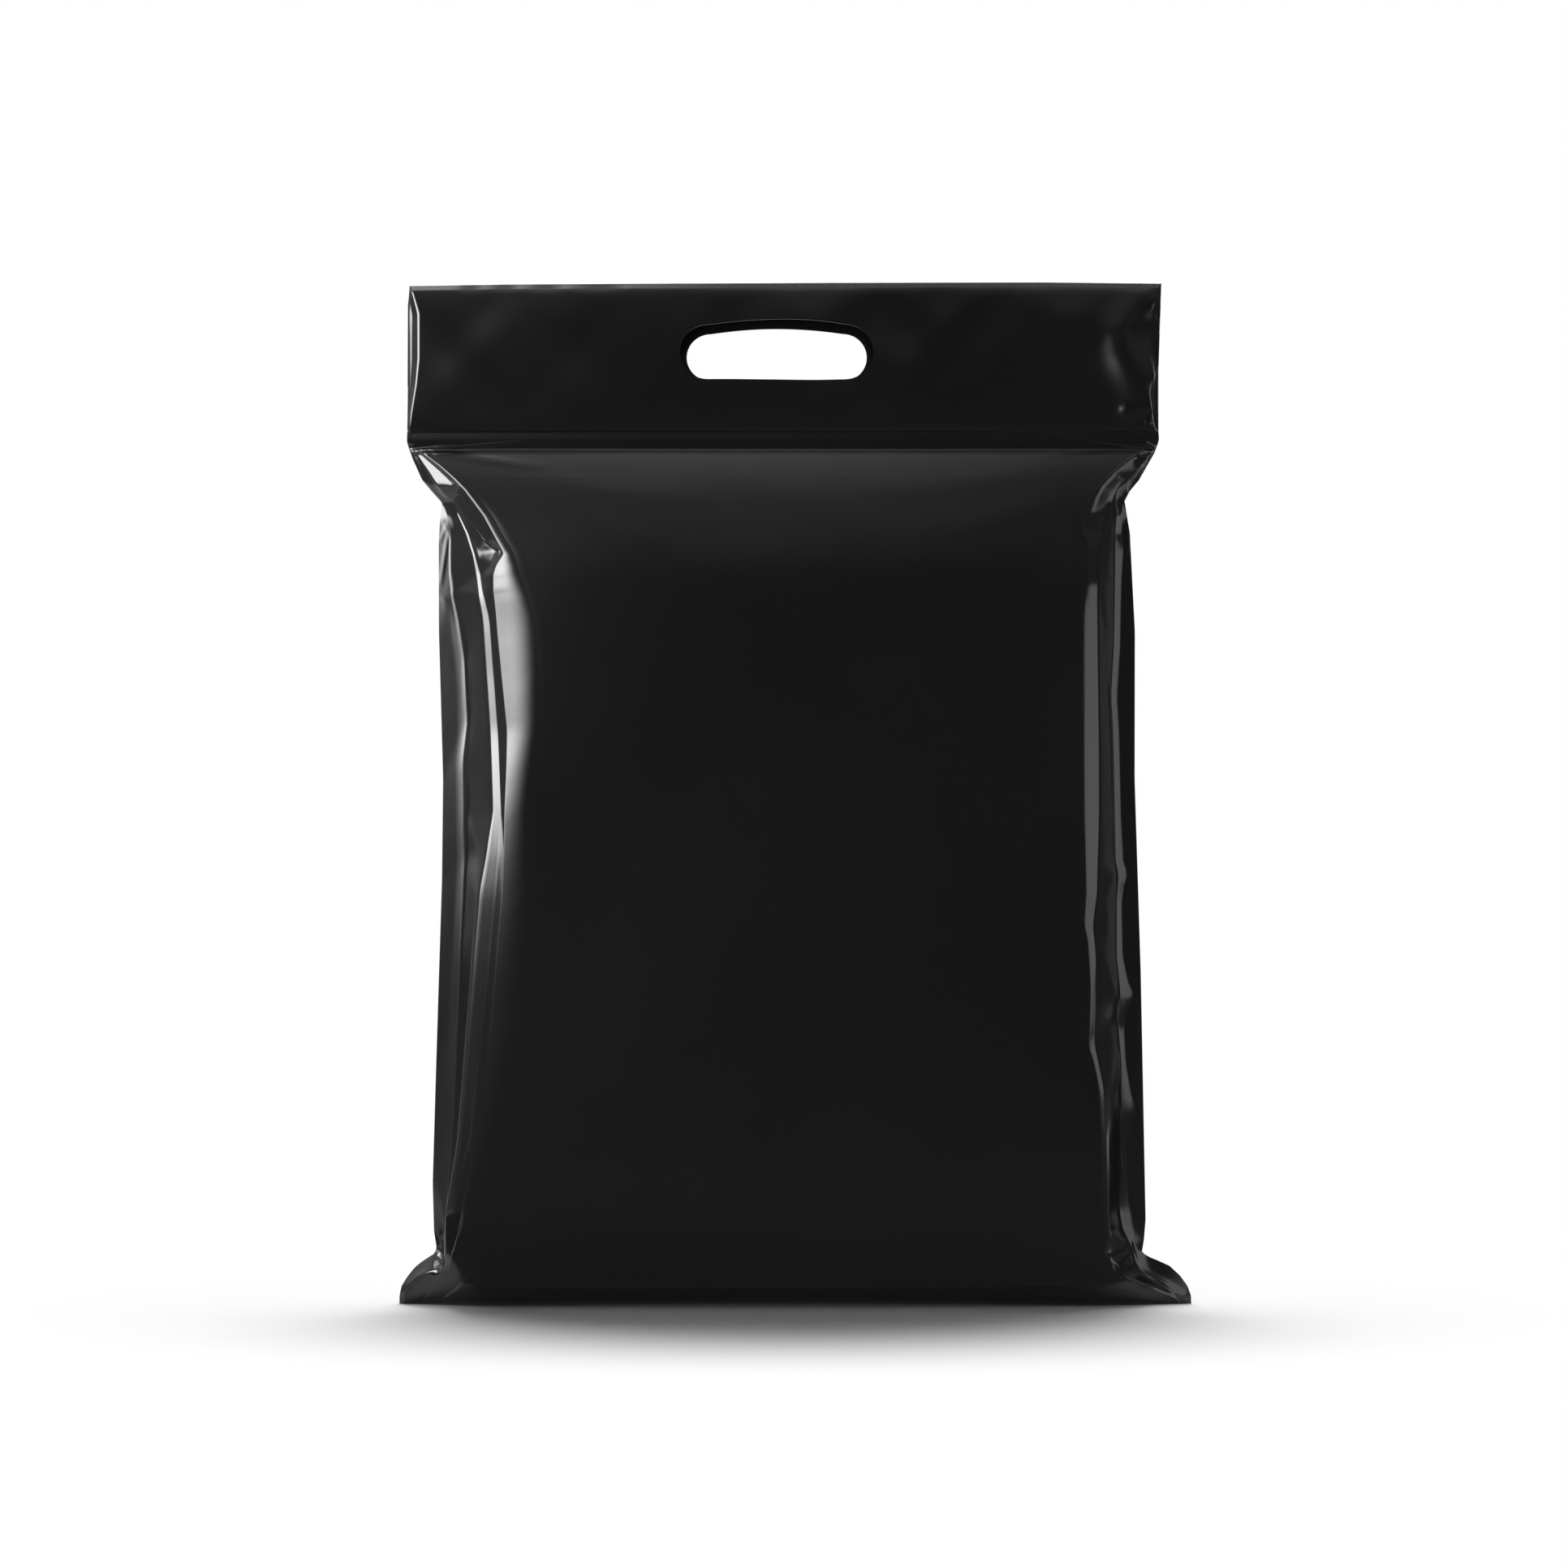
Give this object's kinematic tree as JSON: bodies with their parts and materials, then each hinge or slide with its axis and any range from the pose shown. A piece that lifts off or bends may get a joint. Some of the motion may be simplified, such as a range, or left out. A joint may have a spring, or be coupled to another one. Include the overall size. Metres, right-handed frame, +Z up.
{
  "type": "poly mailer bag",
  "caption": "Packed and sealed black polyethylene mailing bag, its flap stuck down on the front, with a punched carry handle through the header and flat ears at the bottom corners.",
  "frame": {"origin": "on the floor, at the middle of the bag's bounding box", "axes": "+Z up from the bottom fold to the top fold, +X to the right seen from the front, +Y from the flap side to the back"},
  "size_m": [0.4, 0.062, 0.526],
  "materials": {
    "film": "gloss"
  },
  "bodies": {
    "root": {"mailer_bag": "film"}
  },
  "joints": []
}
